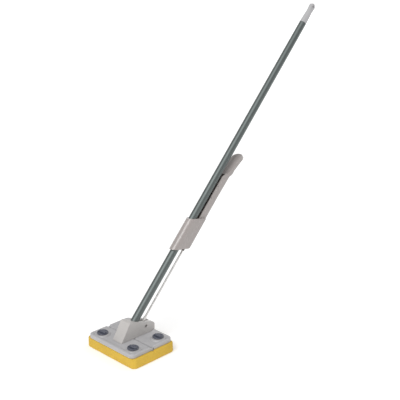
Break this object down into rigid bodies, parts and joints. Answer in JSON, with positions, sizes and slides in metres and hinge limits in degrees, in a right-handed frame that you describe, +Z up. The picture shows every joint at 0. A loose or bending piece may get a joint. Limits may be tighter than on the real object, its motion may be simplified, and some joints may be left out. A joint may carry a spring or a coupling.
{
  "type": "folding sponge mop",
  "caption": "Long-handled hinged sponge pad with quarter-turn latches, a leaning pole and a hand lever whose push rod folds the back half of the head to wring the sponge.",
  "frame": {"origin": "On the floor under the middle of the sponge, in the plane of symmetry and below the head hinge.", "axes": "+Z up; +Y toward the back of the head, where the pole leans; +X along the head hinge, to the right when seen from the front."},
  "size_m": [0.205, 0.8942, 0.9339],
  "materials": {
    "plate_plastic": "satin moulded",
    "housing_plastic": "satin moulded",
    "lever_plastic": "glossy moulded",
    "knob_plastic": "glossy moulded",
    "pole_metal": "metallic lacquer",
    "bright_steel": "zinc plated",
    "dark_steel": "dark phosphate",
    "sponge_foam": "open-cell foam",
    "board_plastic": "rough moulded"
  },
  "bodies": {
    "root": {"front_plate": "plate_plastic", "front_sponge": "sponge_foam", "front_backing_board": "board_plastic", "housing_screw_1": "bright_steel", "housing_screw_2": "bright_steel", "housing_screw_3": "bright_steel", "housing_screw_4": "bright_steel", "front_left_knob_washer": "bright_steel", "front_right_knob_washer": "bright_steel", "hinge_pin": "bright_steel", "socket_housing": "housing_plastic", "pole_tube": "pole_metal", "pole_foot_plug": "housing_plastic", "pole_screw": "bright_steel", "hang_cap": "plate_plastic", "lever_bracket": "lever_plastic", "bracket_screw_1": "bright_steel", "bracket_screw_2": "bright_steel", "lever_pivot_pin": "bright_steel"},
    "folding_half": {"back_plate": "plate_plastic", "back_sponge": "sponge_foam", "back_backing_board": "board_plastic", "horn_screw_1": "bright_steel", "horn_screw_2": "bright_steel", "horn_screw_3": "bright_steel", "horn_screw_4": "bright_steel", "back_left_knob_washer": "bright_steel", "back_right_knob_washer": "bright_steel", "wringer_horn": "housing_plastic", "crank_pin": "dark_steel", "crank_pin_clip_left": "bright_steel", "crank_pin_clip_right": "bright_steel"},
    "lever_arm": {"lever": "lever_plastic", "rod_pin": "bright_steel"},
    "rod_link": {"push_rod": "bright_steel", "rod_lower_fitting": "bright_steel", "rod_top_fitting": "dark_steel"},
    "front_left_latch": {"front_left_knob": "knob_plastic"},
    "front_right_latch": {"front_right_knob": "knob_plastic"},
    "back_left_latch": {"back_left_knob": "knob_plastic"},
    "back_right_latch": {"back_right_knob": "knob_plastic"}
  },
  "joints": [
    {"name": "lever_swing", "type": "hinge", "parent": "root", "child": "lever_arm", "pos_m": [0, 0.21325, 0.25718], "axis": [-1, 0, 0], "range_deg": [0, 125], "stiffness_Nm_per_rad": 1.5},
    {"name": "head_fold", "type": "hinge", "parent": "root", "child": "folding_half", "pos_m": [0, 0, 0.0289], "axis": [-1, 0, 0], "range_deg": [0, 125], "deforming": ["front_sponge", "back_sponge"]},
    {"name": "rod_swing", "type": "hinge", "parent": "lever_arm", "child": "rod_link", "pos_m": [0, 0.25525, 0.28778], "axis": [-1, 0, 0], "range_deg": [-125, 0]},
    {"name": "front_left_latch_turn", "type": "hinge", "parent": "root", "child": "front_left_latch", "pos_m": [-0.0653, -0.046, 0.0414], "axis": [0, 0, 1], "range_deg": [0, 90]},
    {"name": "front_right_latch_turn", "type": "hinge", "parent": "root", "child": "front_right_latch", "pos_m": [0.0653, -0.046, 0.0414], "axis": [0, 0, 1], "range_deg": [0, 90]},
    {"name": "back_left_latch_turn", "type": "hinge", "parent": "folding_half", "child": "back_left_latch", "pos_m": [-0.0653, 0.046, 0.0414], "axis": [0, 0, 1], "range_deg": [0, 90]},
    {"name": "back_right_latch_turn", "type": "hinge", "parent": "folding_half", "child": "back_right_latch", "pos_m": [0.0653, 0.046, 0.0414], "axis": [0, 0, 1], "range_deg": [0, 90]}
  ],
  "couplings": [
    {"joint": "head_fold", "follows": "lever_swing", "ratio": 1},
    {"joint": "rod_swing", "follows": "lever_swing", "ratio": -1}
  ]
}
